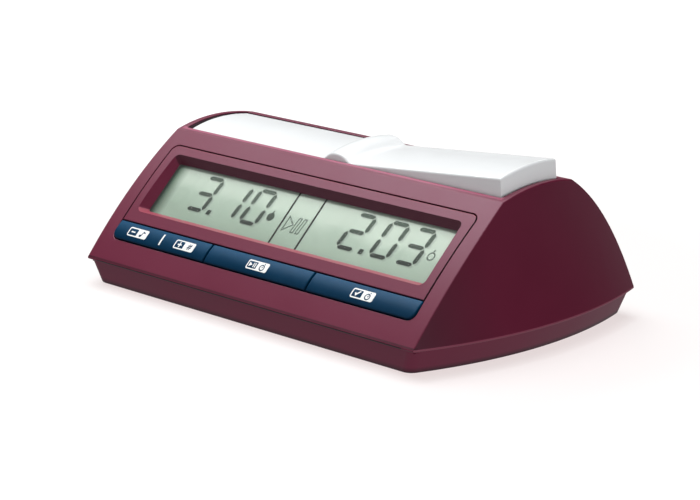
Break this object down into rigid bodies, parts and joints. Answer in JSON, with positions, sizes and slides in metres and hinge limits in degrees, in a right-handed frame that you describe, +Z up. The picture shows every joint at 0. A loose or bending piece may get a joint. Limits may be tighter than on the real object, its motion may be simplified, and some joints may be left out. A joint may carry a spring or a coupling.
{
  "type": "chess clock",
  "caption": "Digital chess clock: wedge-shaped maroon housing with a two-sided display, a row of keys under it and a long white rocker lever on top that is tipped from side to side.",
  "frame": {"origin": "middle of the clock on the surface that its feet stand on", "axes": "+X to the right as the display is read, +Y away from the display side, +Z up"},
  "size_m": [0.2214, 0.1143, 0.0668],
  "materials": {
    "housing": "satin moulded",
    "white_plastic": "gloss moulded",
    "key_plastic": "satin moulded, printed",
    "clear_plastic": "clear",
    "display_glass": "satin polariser",
    "reflector_film": "matt",
    "inner_plastic": "matt moulded",
    "silicone": "matt",
    "black_rubber": "matt",
    "circuit_board": "solder mask",
    "black_component": "moulded epoxy",
    "white_component": "moulded",
    "steel": "ground",
    "nickel": "plated",
    "battery_sleeve": "printed film"
  },
  "bodies": {
    "root": {"upper_housing": "housing", "base_shell": "housing", "display_bezel": "housing", "display_lens": "clear_plastic", "display_glass": "display_glass", "display_reflector": "reflector_film", "display_holder": "inner_plastic", "connector_strips": "silicone", "dome_mat": "silicone", "main_board": "circuit_board", "board_screws": "steel", "controller_chip": "black_component", "quartz_crystal": "nickel", "ribbon_socket": "white_component", "lever_axle": "steel", "catch_plates": "steel", "stop_pads": "black_rubber", "sensor_board": "circuit_board", "lever_sensors": "black_component", "sensor_ribbon": "white_component", "housing_screws": "steel", "rubber_feet": "black_rubber", "piezo_buzzer": "black_component", "power_switch": "black_component", "battery_cells": "battery_sleeve", "battery_contacts": "nickel", "battery_springs": "nickel", "battery_lead_red": "black_rubber", "battery_lead_black": "black_rubber"},
    "lever": {"rocker_lever": "white_plastic", "lever_magnets": "nickel", "lever_bushes": "white_component"},
    "minus_plus_key": {"key_minus_plus": "key_plastic"},
    "start_pause_key": {"key_start_pause": "key_plastic"},
    "confirm_key": {"key_confirm": "key_plastic"},
    "power_button": {"power_slider": "inner_plastic"},
    "door": {"battery_door": "housing"}
  },
  "joints": [
    {"name": "lever_tip", "type": "hinge", "parent": "root", "child": "lever", "pos_m": [0, 0.01154, 0.04985], "axis": [0, 1, 0], "range_deg": [0, 5.2]},
    {"name": "minus_plus_rock", "type": "hinge", "parent": "root", "child": "minus_plus_key", "pos_m": [-0.05939, -0.04522, 0.02096], "axis": [0, 0.7349, 0.6782], "range_deg": [-1.5, 1.5], "stiffness_Nm_per_rad": 0.4, "deforming": ["dome_mat"]},
    {"name": "start_pause_press", "type": "slide", "parent": "root", "child": "start_pause_key", "axis": [0, 0.6782, -0.7349], "range_m": [0, 0.0008], "stiffness_N_per_m": 800, "springref_m": -0.0003, "deforming": ["dome_mat"]},
    {"name": "confirm_press", "type": "slide", "parent": "root", "child": "confirm_key", "axis": [0, 0.6782, -0.7349], "range_m": [0, 0.0008], "stiffness_N_per_m": 800, "springref_m": -0.0003, "deforming": ["dome_mat"]},
    {"name": "power_slide", "type": "slide", "parent": "root", "child": "power_button", "axis": [1, 0, 0], "range_m": [0, 0.003]},
    {"name": "door_removal", "type": "slide", "parent": "root", "child": "door", "axis": [0, 0, -1], "range_m": [0, 0.025]}
  ]
}
